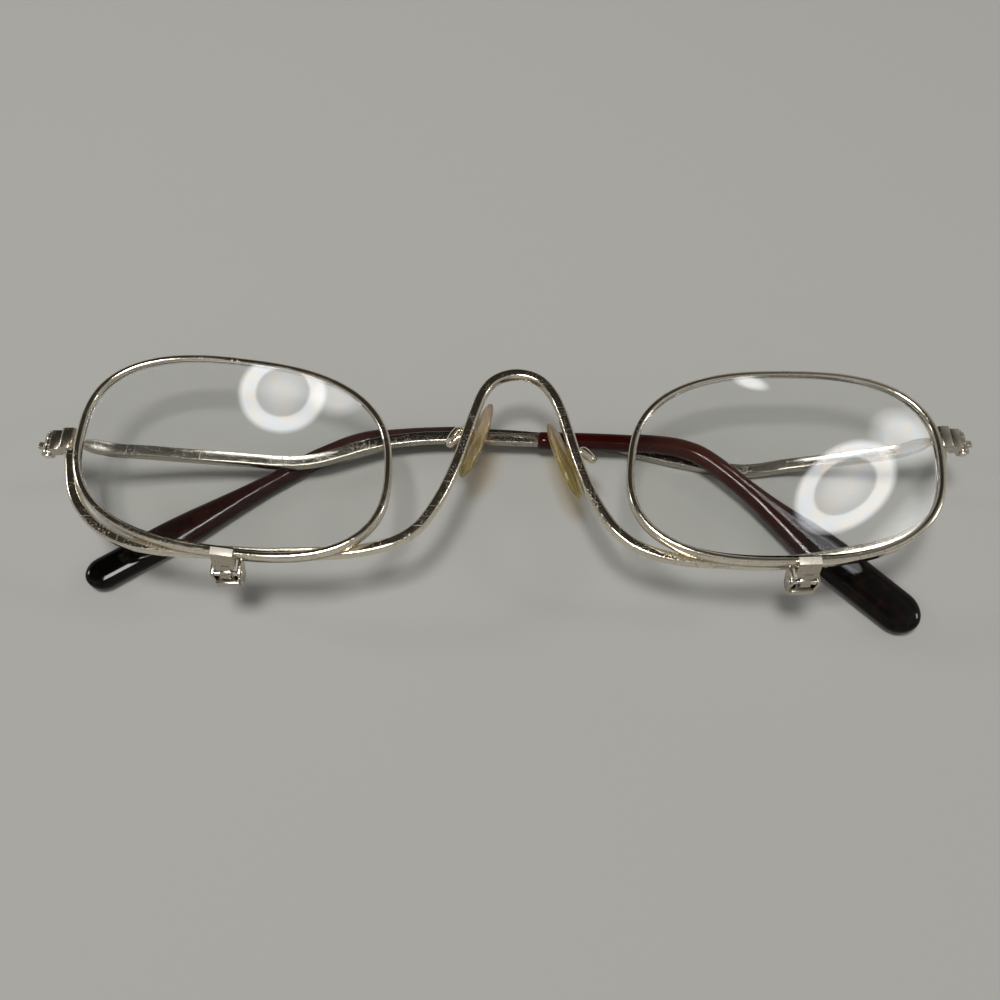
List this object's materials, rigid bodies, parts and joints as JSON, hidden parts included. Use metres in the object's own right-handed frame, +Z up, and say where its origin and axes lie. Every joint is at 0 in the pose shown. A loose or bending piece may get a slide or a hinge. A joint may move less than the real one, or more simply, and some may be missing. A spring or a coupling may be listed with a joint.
{
  "type": "flip-down makeup glasses",
  "caption": "Folding wire makeup glasses with separate plus lenses that hinge down below a shared carrier wire, one at a time, and rest in front of the eyes.",
  "frame": {"origin": "on the table, below the middle of the whole outline, with the glasses lying on their folded temples and the lenses up", "axes": "+X along the front, towards the picture's right; +Y towards the bridge's top, the wearer's up; +Z up from the table, the way the glasses face"},
  "size_m": [0.1396, 0.0396, 0.0147],
  "materials": {
    "gold_wire": "polished pale gold plate, finely scratched",
    "screw_steel": "bright",
    "tip_plastic": "glossy translucent tortoise, darker towards the end",
    "lens_clear": "clear, finely scratched",
    "pad_soft": "yellowed translucent"
  },
  "bodies": {
    "frame": {"carrier_wire": "gold_wire", "end_block_left": "gold_wire", "end_block_right": "gold_wire", "front_hinge_left": "gold_wire", "front_hinge_right": "gold_wire", "hinge_screw_left": "screw_steel", "hinge_screw_right": "screw_steel", "flip_bracket_left": "gold_wire", "flip_bracket_right": "gold_wire", "flip_spring_left": "screw_steel", "flip_spring_right": "screw_steel", "flip_pin_left": "screw_steel", "flip_pin_right": "screw_steel", "pad_arm_left": "gold_wire", "pad_arm_right": "gold_wire", "pad_box_left": "gold_wire", "pad_box_right": "gold_wire", "pad_pin_left": "screw_steel", "pad_pin_right": "screw_steel"},
    "temple_left": {"temple_hinge_left": "gold_wire", "temple_bar_left": "gold_wire", "temple_tip_left": "tip_plastic"},
    "temple_right": {"temple_hinge_right": "gold_wire", "temple_bar_right": "gold_wire", "temple_tip_right": "tip_plastic"},
    "lens_unit_left": {"flip_clip_left": "gold_wire", "lens_rim_left": "gold_wire", "lens_left": "lens_clear"},
    "lens_unit_right": {"flip_clip_right": "gold_wire", "lens_rim_right": "gold_wire", "lens_right": "lens_clear"},
    "pad_left": {"nose_pad_left": "pad_soft"},
    "pad_right": {"nose_pad_right": "pad_soft"}
  },
  "joints": [
    {"name": "temple_left_fold", "type": "hinge", "parent": "frame", "child": "temple_left", "pos_m": [-0.0681, 0.00559, 0.01005], "axis": [0, 1, 0], "range_deg": [0, 92]},
    {"name": "temple_right_fold", "type": "hinge", "parent": "frame", "child": "temple_right", "pos_m": [0.0681, 0.00719, 0.01005], "axis": [0, -1, 0], "range_deg": [0, 92]},
    {"name": "lens_left_flip", "type": "hinge", "parent": "frame", "child": "lens_unit_left", "pos_m": [-0.0391, -0.01497, 0.0107], "axis": [1, 0, 0], "range_deg": [0, 120]},
    {"name": "lens_right_flip", "type": "hinge", "parent": "frame", "child": "lens_unit_right", "pos_m": [0.0403, -0.01577, 0.0107], "axis": [1, 0, 0], "range_deg": [0, 120]},
    {"name": "pad_left_rock", "type": "hinge", "parent": "frame", "child": "pad_left", "pos_m": [-0.0067, 0.00908, 0.00879], "axis": [0.449, -0.1373, 0.8829], "range_deg": [-6, 6]},
    {"name": "pad_right_rock", "type": "hinge", "parent": "frame", "child": "pad_right", "pos_m": [0.0097, 0.00568, 0.00879], "axis": [-0.449, -0.1373, 0.8829], "range_deg": [-6, 6]}
  ]
}
